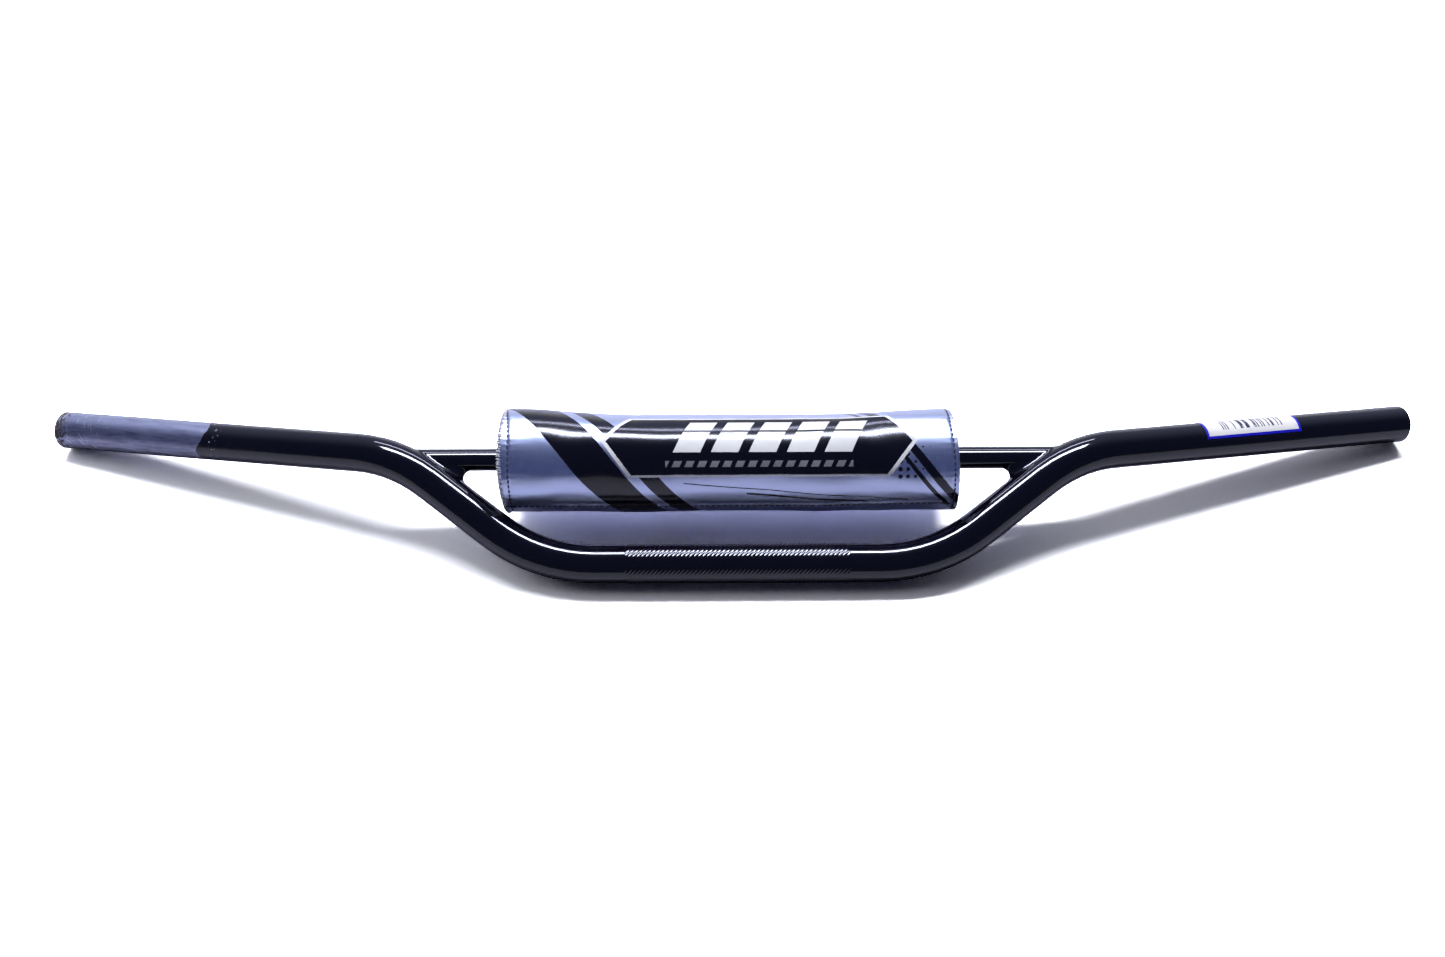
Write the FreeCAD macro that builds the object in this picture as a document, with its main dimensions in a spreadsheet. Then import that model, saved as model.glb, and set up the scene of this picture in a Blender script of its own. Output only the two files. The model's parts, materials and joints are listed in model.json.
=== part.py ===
import FreeCAD, Part
import math
import os

# Motocross handlebar: one bent steel tube of 22.2 mm with a straight crossbar welded
# between its two grip bends, and a sewn roll pad wrapped round the crossbar.
#
# The bar lies on its clamp section and its two grip tips, as on a table.
# X runs along the clamp section, +Y points back towards the grip tips, +Z points up.
# The origin is the middle of the clamp section, on its axis.
# All sizes are millimetres and degrees.

Vector = FreeCAD.Vector

# Driving sizes

SIZES = {
    # bent tube
    "bar_diameter": 22.225,
    "bar_wall": 2.0,
    "tip_chamfer": 0.5,
    "clamp_half_length": 80.5,
    "bar_plane_tilt": 31.5,
    "rise_bend_radius": 94.0,
    "rise_bend_angle": 37.5,
    "rise_length": 46.5,
    "grip_bend_radius": 83.0,
    "grip_sweep": 13.75,
    "grip_length": 199.5,
    # crossbar and its welds
    "crossbar_diameter": 12.7,
    "crossbar_wall": 1.6,
    "crossbar_along_bend": 18.0,
    "weld_radius": 4.5,
    # roll pad, measured from stitch line to stitch line
    "pad_diameter": 58.6,
    "pad_length": 248.5,
    "pad_shift": -3.75,
    "cover_thickness": 0.9,
    "left_allowance": 4.5,
    "right_allowance": 2.4,
    "seat_gap": 0.25,
    # closure under the pad, as angles round the crossbar from +Y towards +Z
    "hem_start": 189.0,
    "hem_end": 222.0,
    "hem_thickness": 0.6,
    "closure_start": 232.0,
    "closure_end": 264.0,
    "strip_thickness": 0.8,
    "strip_margin": 14.0,
    "flap_thickness": 0.8,
    "flap_root_start": 203.0,
    "flap_root_end": 214.0,
    "slit_width": 1.2,
    # price label on the right grip
    "label_from_tip": 79.0,
    "label_length": 64.5,
    "label_width": 32.0,
    "label_front_angle": 127.0,
    "label_thickness": 0.12,
}

doc = FreeCAD.newDocument("motocross_handlebar")
sheet = doc.addObject("Spreadsheet::Sheet", "sizes")
for row, (alias, value) in enumerate(SIZES.items(), start=1):
    sheet.set(f"A{row}", alias.replace("_", " "))
    sheet.set(f"B{row}", str(value))
    sheet.setAlias(f"B{row}", alias)
doc.recompute()


def size(alias):
    """One driving size, read back from the sheet."""
    return float(sheet.get(alias))


def radians(alias):
    """One driving angle in radians."""
    return math.radians(size(alias))


BAR_RADIUS = size("bar_diameter") / 2
CROSSBAR_RADIUS = size("crossbar_diameter") / 2

# Two points closer than this are the same point.
SAME_PLACE = 0.001

# Centreline of the bar
#
# The clamp section runs along X. The rise bend turns it up into the bar plane, which
# leans back from the table. The grip bend then turns it to the grip, which sweeps back
# and drops until the rim of its tip meets the table.


def heading_of_rise():
    """Direction of the straight upright, inside the leaning bar plane."""
    rise, tilt = radians("rise_bend_angle"), radians("bar_plane_tilt")
    return Vector(math.cos(rise), math.sin(rise) * math.cos(tilt), math.sin(rise) * math.sin(tilt))


def heading_of_grip(drop):
    """Direction of the grip, swept back and dropping by the given angle."""
    sweep = radians("grip_sweep")
    return Vector(math.cos(sweep) * math.cos(drop), math.sin(sweep) * math.cos(drop), -math.sin(drop))


class Bend:
    """A circular bend that leaves a straight run at start and turns it to a new heading."""

    def __init__(self, start, heading, new_heading, radius):
        self.start = start
        self.axis = heading.cross(new_heading).normalize()
        self.angle = heading.getAngle(new_heading)
        self.centre = start + self.axis.cross(heading) * radius

    def at(self, angle):
        """Point of the bend after the given angle from its start."""
        turn = FreeCAD.Rotation(self.axis, math.degrees(angle))
        return self.centre + turn.multVec(self.start - self.centre)

    def end(self):
        return self.at(self.angle)


ALONG_X = Vector(1, 0, 0)
rise_heading = heading_of_rise()
clamp_end = ALONG_X * size("clamp_half_length")
rise_bend = Bend(clamp_end, ALONG_X, rise_heading, size("rise_bend_radius"))
rise_end = rise_bend.end() + rise_heading * size("rise_length")


def grip_with_drop(drop):
    """Grip bend and tip for one drop angle."""
    heading = heading_of_grip(drop)
    bend = Bend(rise_end, rise_heading, heading, size("grip_bend_radius"))
    return bend, heading, bend.end() + heading * size("grip_length")


def drop_that_rests():
    """Drop angle that puts the lowest point of the tip's rim level with the clamp section."""
    shallow, steep = 0.0, math.radians(45)
    halvings = 50
    for _ in range(halvings):
        drop = (shallow + steep) / 2
        tip_point = grip_with_drop(drop)[2]
        if tip_point.z - BAR_RADIUS * math.cos(drop) > -BAR_RADIUS:
            shallow = drop
        else:
            steep = drop
    return drop


grip_bend, grip_heading, tip = grip_with_drop(drop_that_rests())


def mirrored(point):
    """The same point or direction on the left half of the bar."""
    return Vector(-point.x, point.y, point.z)


def centreline_edges():
    """Straight runs and bends from the left tip to the right tip."""
    right = [
        Part.Arc(clamp_end, rise_bend.at(rise_bend.angle / 2), rise_bend.end()),
        Part.LineSegment(rise_bend.end(), rise_end),
        Part.Arc(rise_end, grip_bend.at(grip_bend.angle / 2), grip_bend.end()),
        Part.LineSegment(grip_bend.end(), tip),
    ]
    left = [
        Part.LineSegment(mirrored(tip), mirrored(grip_bend.end())),
        Part.Arc(mirrored(grip_bend.end()), mirrored(grip_bend.at(grip_bend.angle / 2)), mirrored(rise_end)),
        Part.LineSegment(mirrored(rise_end), mirrored(rise_bend.end())),
        Part.Arc(mirrored(rise_bend.end()), mirrored(rise_bend.at(rise_bend.angle / 2)), mirrored(clamp_end)),
    ]
    clamp_run = Part.LineSegment(mirrored(clamp_end), clamp_end)
    return [curve.toShape() for curve in left + [clamp_run] + right]


centreline = doc.addObject("Part::Feature", "bar_centreline")
centreline.Shape = Part.Wire(centreline_edges())

# Bent tube: two round sections swept along the centreline, one cut out of the other


def swept_round(name, radius_formula):
    """A solid round bar along the whole centreline."""
    section = doc.addObject("Part::Circle", name + "_section")
    section.setExpression("Radius", radius_formula)
    towards_bend = mirrored(grip_heading) * -1
    section.Placement = FreeCAD.Placement(mirrored(tip), FreeCAD.Rotation(Vector(0, 0, 1), towards_bend))
    sweep = doc.addObject("Part::Sweep", name)
    sweep.Sections = [section]
    sweep.Spine = (centreline, [f"Edge{i + 1}" for i in range(len(centreline.Shape.Edges))])
    sweep.Solid = True
    sweep.Frenet = False
    return sweep


def cut(name, base, tool):
    """Boolean cut of two objects of the document."""
    feature = doc.addObject("Part::Cut", name)
    feature.Base = base
    feature.Tool = tool
    return feature


def join(name, *pieces):
    """Boolean union of several objects of the document."""
    feature = doc.addObject("Part::MultiFuse", name)
    feature.Shapes = list(pieces)
    return feature


bar_outside = swept_round("bar_outside", "sizes.bar_diameter / 2")
bar_bore = swept_round("bar_bore", "sizes.bar_diameter / 2 - sizes.bar_wall")
square_ended_tube = cut("square_ended_tube", bar_outside, bar_bore)
doc.recompute()


def is_tip_rim(edge):
    """True for the outer circle of an open end."""
    if edge.Curve.TypeId != "Part::GeomCircle":
        return False
    is_outside = abs(edge.Curve.Radius - BAR_RADIUS) < SAME_PLACE
    return is_outside and abs(abs(edge.Curve.Center.x) - tip.x) < SAME_PLACE


handlebar_tube = doc.addObject("Part::Chamfer", "handlebar_tube")
handlebar_tube.Base = square_ended_tube
handlebar_tube.Edges = [
    (number, size("tip_chamfer"), size("tip_chamfer"))
    for number, edge in enumerate(square_ended_tube.Shape.Edges, start=1)
    if is_tip_rim(edge)
]

# Crossbar: a straight tube between the two grip bends, coped to the round of the bar

crossbar_seat = grip_bend.at(radians("crossbar_along_bend"))
ALONG_CROSSBAR = FreeCAD.Rotation(Vector(0, 0, 1), ALONG_X)


def crossbar_rod(name, radius_formula):
    """A round rod from one bar centreline to the other."""
    rod = doc.addObject("Part::Cylinder", name)
    rod.setExpression("Radius", radius_formula)
    rod.Height = 2 * crossbar_seat.x
    rod.Placement = FreeCAD.Placement(mirrored(crossbar_seat), ALONG_CROSSBAR)
    return rod


crossbar_outside = crossbar_rod("crossbar_outside", "sizes.crossbar_diameter / 2")
crossbar_bore = crossbar_rod("crossbar_bore", "sizes.crossbar_diameter / 2 - sizes.crossbar_wall")
crossbar = cut("crossbar", cut("uncoped_crossbar", crossbar_outside, crossbar_bore), bar_outside)
doc.recompute()

# Weld beads: a rolled fillet round each coped end, between crossbar and bar


def room_round_weld():
    """A box that holds the right weld: twice as deep towards the acute side as elsewhere."""
    half = 2 * size("crossbar_diameter") + 3 * size("weld_radius")
    length = 3 * half
    corner = crossbar_seat - Vector(2 * half, half, half)
    return Part.makeBox(length, 2 * half, 2 * half, corner)


def right_weld_bead():
    """The fillet between bar and crossbar, without the bar and the crossbar themselves."""
    around = room_round_weld()
    bar_piece = bar_outside.Shape.common(around)
    rod_piece = crossbar_outside.Shape.common(around).cut(bar_piece)
    seam = rod_piece.section(bar_piece)
    joined = bar_piece.fuse(rod_piece)

    def on_seam(edge):
        middle = edge.valueAt((edge.FirstParameter + edge.LastParameter) / 2)
        return seam.distToShape(Part.Vertex(middle))[0] < SAME_PLACE

    filleted = joined.makeFillet(size("weld_radius"), [edge for edge in joined.Edges if on_seam(edge)])
    return filleted.cut([bar_piece, rod_piece], SAME_PLACE)


bead = right_weld_bead().Solids[0]
weld_bead_right = doc.addObject("Part::Feature", "weld_bead_right")
weld_bead_right.Shape = bead
weld_bead_left = doc.addObject("Part::Feature", "weld_bead_left")
weld_bead_left.Shape = bead.mirror(Vector(0, 0, 0), ALONG_X)

# Roll pad: rings and ring sectors round the crossbar
#
# A sector starts at an angle measured round the crossbar from +Y towards +Z and runs
# from one distance to another along X, counted from the middle of the pad.


def round_sector(name, radius_formula, start_angle, angle_formula, start_x, length_formula):
    """A pie-shaped or full cylinder on the crossbar's axis."""
    piece = doc.addObject("Part::Cylinder", name)
    piece.setExpression("Radius", radius_formula)
    piece.setExpression("Angle", angle_formula)
    piece.setExpression("Height", length_formula)
    spin = FreeCAD.Rotation(ALONG_X, start_angle)
    start_y = FreeCAD.Rotation(Vector(0, 1, 0), Vector(0, 0, 1), ALONG_X, "ZXY")
    base = Vector(size("pad_shift") + start_x, crossbar_seat.y, crossbar_seat.z)
    piece.Placement = FreeCAD.Placement(base, spin.multiply(start_y))
    return piece


def ring_sector(name, outside, inside, start_angle, angle_formula, start_x, length_formula):
    """A round_sector of the outside radius less the full round of the inside radius."""
    outer = round_sector(name + "_outer", outside, start_angle, angle_formula, start_x, length_formula)
    inner = round_sector(name + "_inner", inside, start_angle, "360", start_x, length_formula)
    return cut(name, outer, inner)


HALF_PAD = size("pad_length") / 2
COVER_OUTSIDE = "sizes.pad_diameter / 2"
COVER_INSIDE = "sizes.pad_diameter / 2 - sizes.cover_thickness"
LOOP_INSIDE = COVER_INSIDE + " - sizes.strip_thickness"
HOOK_INSIDE = LOOP_INSIDE + " - sizes.strip_thickness"
FLAP_INSIDE = HOOK_INSIDE + " - sizes.flap_thickness"
COVER_LENGTH = "sizes.pad_length + sizes.left_allowance + sizes.right_allowance"
COVER_START = -HALF_PAD - size("left_allowance")

# The cover is one turn of coated fabric that leaves a narrow gap underneath. Its front
# edge is folded into a hem, and its back edge closes over the two fastener strips.

cover_turn = ring_sector(
    "cover_turn",
    COVER_OUTSIDE,
    COVER_INSIDE,
    size("closure_start"),
    "360 - sizes.closure_start + sizes.hem_end",
    COVER_START,
    COVER_LENGTH,
)
cover_hem = ring_sector(
    "cover_hem",
    COVER_OUTSIDE + " + sizes.hem_thickness",
    COVER_OUTSIDE,
    size("hem_start"),
    "sizes.hem_end - sizes.hem_start",
    -HALF_PAD,
    "sizes.pad_length",
)
pad_cover = join("pad_cover", cover_turn, cover_hem)

# The flap is sewn to the hem by its root, steps inwards and carries the hook strip.

flap_sheet = ring_sector(
    "flap_sheet",
    HOOK_INSIDE,
    FLAP_INSIDE,
    size("flap_root_start"),
    "sizes.closure_end - sizes.flap_root_start",
    -HALF_PAD + size("strip_margin") / 2,
    "sizes.pad_length - sizes.strip_margin",
)
flap_root = ring_sector(
    "flap_root",
    COVER_INSIDE,
    HOOK_INSIDE,
    size("flap_root_start"),
    "sizes.flap_root_end - sizes.flap_root_start",
    -HALF_PAD + size("strip_margin") / 2,
    "sizes.pad_length - sizes.strip_margin",
)
closure_flap = join("closure_flap", flap_sheet, flap_root)


def fastener_strip(name, outside, inside):
    """One half of the hook and loop fastener, inset from the ends of the pad."""
    return ring_sector(
        name,
        outside,
        inside,
        size("closure_start"),
        "sizes.closure_end - sizes.closure_start",
        -HALF_PAD + size("strip_margin"),
        "sizes.pad_length - 2 * sizes.strip_margin",
    )


loop_strip = fastener_strip("loop_strip", COVER_INSIDE, LOOP_INSIDE)
hook_strip = fastener_strip("hook_strip", LOOP_INSIDE, HOOK_INSIDE)

# The slit lets each ring of the pad open round the crossbar. It runs from the bore out
# through the gap between hem and closure.

SLIT_ANGLE = (size("hem_end") + size("closure_start")) / 2


def slit(name):
    """A flat blade from the crossbar's axis outwards, over the whole length of the pad."""
    blade = doc.addObject("Part::Box", name)
    blade.setExpression("Length", "sizes.pad_diameter")
    blade.setExpression("Width", "sizes.slit_width")
    blade.setExpression("Height", COVER_LENGTH)
    spin = FreeCAD.Rotation(ALONG_X, SLIT_ANGLE)
    start_y = FreeCAD.Rotation(Vector(0, 1, 0), Vector(0, 0, 1), ALONG_X, "ZXY")
    turn = spin.multiply(start_y)
    centring = turn.multVec(Vector(0, -size("slit_width") / 2, 0))
    base = Vector(size("pad_shift") + COVER_START, crossbar_seat.y, crossbar_seat.z) + centring
    blade.Placement = FreeCAD.Placement(base, turn)
    return blade


# The foam fills the cover, with a bore for the crossbar and a recess for the closure.

FOAM_LENGTH = "sizes.pad_length - 2 * sizes.cover_thickness - 2 * sizes.seat_gap"
FOAM_START = -HALF_PAD + size("cover_thickness") + size("seat_gap")
CROSSBAR_CLEARANCE = "sizes.crossbar_diameter / 2 + sizes.seat_gap"
foam_ring = ring_sector(
    "foam_ring",
    COVER_INSIDE + " - sizes.seat_gap",
    CROSSBAR_CLEARANCE,
    0,
    "360",
    FOAM_START,
    FOAM_LENGTH,
)
recess_spread = math.degrees(size("seat_gap") / (size("pad_diameter") / 2))
foam_recess = ring_sector(
    "foam_recess",
    COVER_INSIDE,
    FLAP_INSIDE + " - sizes.seat_gap",
    size("flap_root_start") - recess_spread,
    f"sizes.closure_end - sizes.flap_root_start + {2 * recess_spread}",
    FOAM_START,
    FOAM_LENGTH,
)
recessed_foam = cut("recessed_foam", foam_ring, foam_recess)
pad_foam = cut("pad_foam", recessed_foam, slit("foam_slit"))

# Each end panel is a disc sewn inside the cover. Its turned rim follows the cover's
# raw edge outwards, so the disc lies back from that edge by the seam allowance.


def end_panel(name, disc_x, rim_x, allowance):
    """Disc with a bore for the crossbar, a turned rim and the slit."""
    disc = ring_sector(
        name + "_disc",
        COVER_INSIDE,
        CROSSBAR_CLEARANCE,
        0,
        "360",
        disc_x,
        "sizes.cover_thickness",
    )
    rim = ring_sector(
        name + "_rim",
        COVER_INSIDE,
        COVER_INSIDE + " - sizes.cover_thickness",
        0,
        "360",
        rim_x,
        f"sizes.{allowance}",
    )
    return cut(name, join(name + "_blank", disc, rim), slit(name + "_slit"))


pad_end_left = end_panel("pad_end_left", -HALF_PAD, COVER_START, "left_allowance")
pad_end_right = end_panel("pad_end_right", HALF_PAD - size("cover_thickness"), HALF_PAD, "right_allowance")

# Price label: a thin sheet bent round the top of the right grip


def label_round(name, radius_formula, angle):
    """Sector on the grip's axis, starting at the label's rear edge."""
    piece = doc.addObject("Part::Cylinder", name)
    piece.setExpression("Radius", radius_formula)
    piece.setExpression("Height", "sizes.label_length")
    piece.Angle = angle
    level_side = Vector(0, 0, 1).cross(grip_heading)
    turn = FreeCAD.Rotation(level_side, grip_heading.cross(level_side), grip_heading, "ZXY")
    start = size("label_front_angle") - label_wrap
    spin = FreeCAD.Rotation(grip_heading, start)
    base = tip - grip_heading * (size("label_from_tip") + size("label_length"))
    piece.Placement = FreeCAD.Placement(base, spin.multiply(turn))
    return piece


label_wrap = math.degrees(size("label_width") / BAR_RADIUS)
label_outside = label_round("label_outside", "sizes.bar_diameter / 2 + sizes.label_thickness", label_wrap)
label_inside = label_round("label_inside", "sizes.bar_diameter / 2", 360)
price_label = cut("price_label", label_outside, label_inside)

# Output: one STEP file for each separate piece

SUB_PARTS = [
    handlebar_tube,
    crossbar,
    weld_bead_left,
    weld_bead_right,
    pad_foam,
    pad_cover,
    pad_end_left,
    pad_end_right,
    closure_flap,
    hook_strip,
    loop_strip,
    price_label,
]

doc.recompute()
for thing in doc.Objects:
    faults = {"Invalid", "Error"}.intersection(thing.State)
    if faults:
        raise RuntimeError(f"{thing.Name} is {faults}")

os.makedirs("parts", exist_ok=True)
for piece in SUB_PARTS:
    piece.Label = piece.Name
    shape = piece.Shape
    if shape.isNull() or not shape.isValid():
        raise RuntimeError(f"{piece.Label} has no valid shape")
    print(f"{piece.Label}: {len(shape.Solids)} solid, {shape.Volume / 1000:.2f} cm3")
for piece in SUB_PARTS:
    piece.Shape.exportStep(f"parts/{piece.Label}.step")

print(f"right tip at {tip.x:.3f}, {tip.y:.3f}, {tip.z:.3f}")
print(f"right grip heading {grip_heading.x:.6f}, {grip_heading.y:.6f}, {grip_heading.z:.6f}")
print(f"right crossbar seat at {crossbar_seat.x:.3f}, {crossbar_seat.y:.3f}, {crossbar_seat.z:.3f}")
print(f"bar centreline {centreline.Shape.Length:.1f} long")
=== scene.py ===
# %% [markdown]
# # A motocross handlebar on a white table
#
# The metal parts come ready made and at their real size from the construction model.
# This lesson gives them their finish, sews the soft pad on the crossbar, and sets up the
# table, the lamps and the camera. Everything is in metres. X runs along the clamp
# section, +Y points away from the camera, and +Z points up.

# %% Load the construction model
import json
import math
from functools import partialmethod

import bpy
import numpy as np
from mathutils import Matrix, Vector


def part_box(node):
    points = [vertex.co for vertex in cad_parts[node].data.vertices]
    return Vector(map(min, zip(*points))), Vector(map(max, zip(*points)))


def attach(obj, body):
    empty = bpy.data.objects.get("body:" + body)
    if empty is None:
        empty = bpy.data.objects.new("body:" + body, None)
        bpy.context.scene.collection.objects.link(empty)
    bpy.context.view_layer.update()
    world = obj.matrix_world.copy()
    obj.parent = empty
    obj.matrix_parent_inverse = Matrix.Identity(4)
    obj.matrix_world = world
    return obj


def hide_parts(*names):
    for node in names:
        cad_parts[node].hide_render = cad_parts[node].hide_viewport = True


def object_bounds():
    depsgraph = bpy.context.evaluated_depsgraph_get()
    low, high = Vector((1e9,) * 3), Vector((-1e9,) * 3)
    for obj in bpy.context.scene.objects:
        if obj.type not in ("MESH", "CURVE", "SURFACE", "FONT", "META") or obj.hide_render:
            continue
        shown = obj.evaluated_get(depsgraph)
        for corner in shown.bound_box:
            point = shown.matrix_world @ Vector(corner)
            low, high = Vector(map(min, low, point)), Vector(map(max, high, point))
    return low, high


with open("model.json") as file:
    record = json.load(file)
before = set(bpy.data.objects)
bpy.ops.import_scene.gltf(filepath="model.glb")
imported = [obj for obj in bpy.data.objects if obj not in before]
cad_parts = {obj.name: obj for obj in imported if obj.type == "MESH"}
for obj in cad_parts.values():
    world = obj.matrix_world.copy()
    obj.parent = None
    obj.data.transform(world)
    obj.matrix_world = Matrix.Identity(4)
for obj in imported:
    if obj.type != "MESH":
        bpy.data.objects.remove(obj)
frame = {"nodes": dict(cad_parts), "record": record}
NODES = frame["nodes"]
MOUNTS = {mount["name"]: mount for mount in frame["record"]["mounts"]}
cad_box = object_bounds()
MM = 0.001
print("pieces in the construction model:", len(NODES))

# %% [markdown]
# ## Numbers as sockets
#
# A procedural material is mostly arithmetic. Placing a Math node by hand for every plus
# and times soon hides what is worked out, so the class below wraps an output socket and
# gives it Python's own operators. `1 - mask * 0.5` then adds the two nodes it needs.
# Most operators are one method, `math`, with the node's operation filled in beforehand.
# Colours never go through it, because a Math node would turn them grey.

# %% A socket that can be calculated with
class Signal:
    """One output socket, used as a number in Python expressions."""

    def __init__(self, socket):
        self.socket = socket

    def math(self, operation, *others):
        """One Math node on this number and up to two others."""
        return calculate(operation, self, *others)

    __add__ = __radd__ = partialmethod(math, "ADD")
    __mul__ = __rmul__ = partialmethod(math, "MULTIPLY")
    __sub__ = partialmethod(math, "SUBTRACT")
    __truediv__ = partialmethod(math, "DIVIDE")
    __abs__ = partialmethod(math, "ABSOLUTE")
    largest = partialmethod(math, "MAXIMUM")

    def __rsub__(self, other):
        """A plain number less this one."""
        return calculate("SUBTRACT", other, self)

    def step(self, start, end):
        """0 before start, 1 after end, and a smooth slope between them. It may fall too."""
        tree = self.socket.id_data
        node = tree.nodes.new("ShaderNodeMapRange")
        node.interpolation_type = "SMOOTHSTEP"
        for name, value in (("Value", self), ("From Min", start), ("From Max", end)):
            connect(node.inputs[name], value)
        return Signal(node.outputs["Result"])

    def within(self, low, high, edge):
        """1 between two limits, with slopes of width edge centred on them."""
        return self.step(low - edge / 2, low + edge / 2) * self.step(high + edge / 2, high - edge / 2)


def connect(slot, value):
    """Feeds an input socket from a Signal, or sets it to a plain value."""
    if isinstance(value, Signal):
        slot.id_data.links.new(value.socket, slot)
    else:
        slot.default_value = value


def calculate(operation, *numbers):
    """One Math node on up to three numbers, of which at least one is a Signal."""
    tree = next(number.socket.id_data for number in numbers if isinstance(number, Signal))
    node = tree.nodes.new("ShaderNodeMath")
    node.operation = operation
    for slot, value in zip(node.inputs, numbers):
        connect(slot, value)
    return Signal(node.outputs["Value"])


# %% [markdown]
# ## One way to add every other node
#
# A `Recipe` is the node tree of one material. Its `node` method takes the node's type,
# its settings, and what goes into its sockets, and gives back the output asked for. The
# settings come first, because some of them change which sockets the node has.

# %% The node tree of one finish
class Recipe:
    """A material or world whose nodes are written as Python calls."""

    def __init__(self, name, owner=None):
        """Starts with an empty tree: a new material's, unless an owner is given."""
        self.owner = owner or bpy.data.materials.new(name)
        self.owner.use_nodes = True
        self.tree = self.owner.node_tree
        self.tree.nodes.clear()
        self.coordinates = None

    def node(self, kind, output, settings=None, **sockets):
        """Adds a node and returns one of its outputs. Sockets are named with _ for spaces."""
        made = self.tree.nodes.new("ShaderNode" + kind)
        for name, value in (settings or {}).items():
            setattr(made, name, value)
        for name, value in sockets.items():
            connect(made.inputs[name.replace("_", " ")], value)
        return Signal(made.outputs[output])

    def mix(self, factor, first, second):
        """A colour between two colours."""
        made = self.tree.nodes.new("ShaderNodeMix")
        made.data_type = "RGBA"
        colour_inputs = [slot for slot in made.inputs if slot.type == "RGBA"]
        connect(made.inputs[0], factor)
        connect(colour_inputs[0], first)
        connect(colour_inputs[1], second)
        return Signal([slot for slot in made.outputs if slot.type == "RGBA"][0])

    def place(self):
        """Object coordinates: metres in the shared frame. Their node is made once."""
        if self.coordinates is None:
            self.coordinates = self.node("TexCoord", "Object")
        return self.coordinates

    def stretch(self, *scale):
        """The place with each component multiplied."""
        return self.node("Mapping", "Vector", Vector=self.place(), Scale=scale)

    def parts(self, vector=None):
        """The three components of a vector as Signals, or of the place if none is given."""
        made = self.tree.nodes.new("ShaderNodeSeparateXYZ")
        connect(made.inputs[0], vector or self.place())
        return [Signal(slot) for slot in made.outputs]

    def noise(self, scale, detail=2.0, roughness=0.5, vector=None):
        """Soft random values around 0.5, over the place if no vector is given."""
        vector = vector or self.place()
        return self.node("TexNoise", "Fac", Vector=vector, Scale=scale, Detail=detail, Roughness=roughness)

    def cells(self, scale):
        """Distance to the nearest of many scattered points."""
        return self.node("TexVoronoi", "Distance", Vector=self.place(), Scale=scale)

    def bump(self, height, distance, strength=1.0, under=None):
        """A normal tilted by a height between 0 and 1, which stands for distance metres."""
        sockets = {"Height": height, "Distance": distance, "Strength": strength}
        if under is not None:
            sockets["Normal"] = under
        return self.node("Bump", "Normal", **sockets)

    def surface(self, **sockets):
        """The one shader of most finishes. Returns the material."""
        shader = self.node("BsdfPrincipled", "BSDF", **sockets)
        return self.finish(shader)

    def finish(self, shader):
        """Ends the tree with any shader. Returns the material or world."""
        kind = "World" if isinstance(self.owner, bpy.types.World) else "Material"
        last = self.tree.nodes.new("ShaderNodeOutput" + kind)
        connect(last.inputs["Surface"], shader)
        return self.owner


def dress(node_name, material):
    """Gives a ready-made piece its finish."""
    slots = NODES[node_name].data.materials
    slots.clear()
    slots.append(material)


# %% [markdown]
# ## Where the camera stands
#
# The photograph was taken from in front and above, about 80 cm from the bar. The focal
# length and the three angles were worked out from the bar's own outline: the two open
# ends look like narrow ellipses, and how narrow they are gives the viewing direction.

# %% Camera
IMAGE_WIDTH = 1445
FOCAL_PIXELS = 1400.0
SENSOR_WIDTH_MM = 36.0
CAMERA_PLACE = Vector((-14.61, -486.93, 625.18)) * MM
LOOKING_DOWN = math.radians(48.616)
TURNED_RIGHT = math.radians(0.691)
ROLLED = math.radians(0.248)


def camera_turn():
    """Rotation whose columns are the image's right, the image's up and the way back."""
    ahead = Vector((
        math.sin(TURNED_RIGHT) * math.cos(LOOKING_DOWN),
        math.cos(TURNED_RIGHT) * math.cos(LOOKING_DOWN),
        -math.sin(LOOKING_DOWN),
    ))
    level_right = Vector((math.cos(TURNED_RIGHT), -math.sin(TURNED_RIGHT), 0))
    level_up = level_right.cross(ahead)
    right = level_right * math.cos(ROLLED) + level_up * math.sin(ROLLED)
    up = level_up * math.cos(ROLLED) - level_right * math.sin(ROLLED)
    return Matrix((right, up, -ahead)).transposed()


camera_data = bpy.data.cameras.new("camera")
camera_data.sensor_width = SENSOR_WIDTH_MM
camera_data.lens = FOCAL_PIXELS / IMAGE_WIDTH * SENSOR_WIDTH_MM
camera = bpy.data.objects.new("camera", camera_data)
camera.matrix_world = Matrix.Translation(CAMERA_PLACE) @ camera_turn().to_4x4()
bpy.context.scene.collection.objects.link(camera)
bpy.context.scene.camera = camera
bpy.context.scene.view_settings.view_transform = "Standard"
print(f"lens {camera_data.lens:.2f} mm")

# %% [markdown]
# ## A white table
#
# The table is one large square at the height of the bar's lowest line. A plain white
# surface under soft light comes out a little grey, and in the photograph it is pure
# white right up to the shadows. So the camera sees a brighter colour than the lamps do:
# Light Path tells the material which kind of ray asks. The shadows are multiplied too,
# so they stay. Rays reflected by paint or vinyl get a third, slightly blue colour.

# %% Table
FLOOR_HALF = 6.0
FLOOR_COLOUR = (0.80, 0.81, 0.90, 1.0)
FLOOR_SEEN = (2.70, 2.74, 2.90, 1.0)
FLOOR_REFLECTED = (0.68, 0.69, 0.94, 1.0)
FAR_FROM_BAR = (0.75, 1.6)
CORNER_SIGNS = ((-1, -1), (1, -1), (1, 1), (-1, 1))


def reflected_or_through(recipe):
    """1 for rays that come by way of gloss or glass."""
    reflected = recipe.node("LightPath", "Is Glossy Ray")
    return reflected.largest(recipe.node("LightPath", "Is Transmission Ray"))


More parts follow.
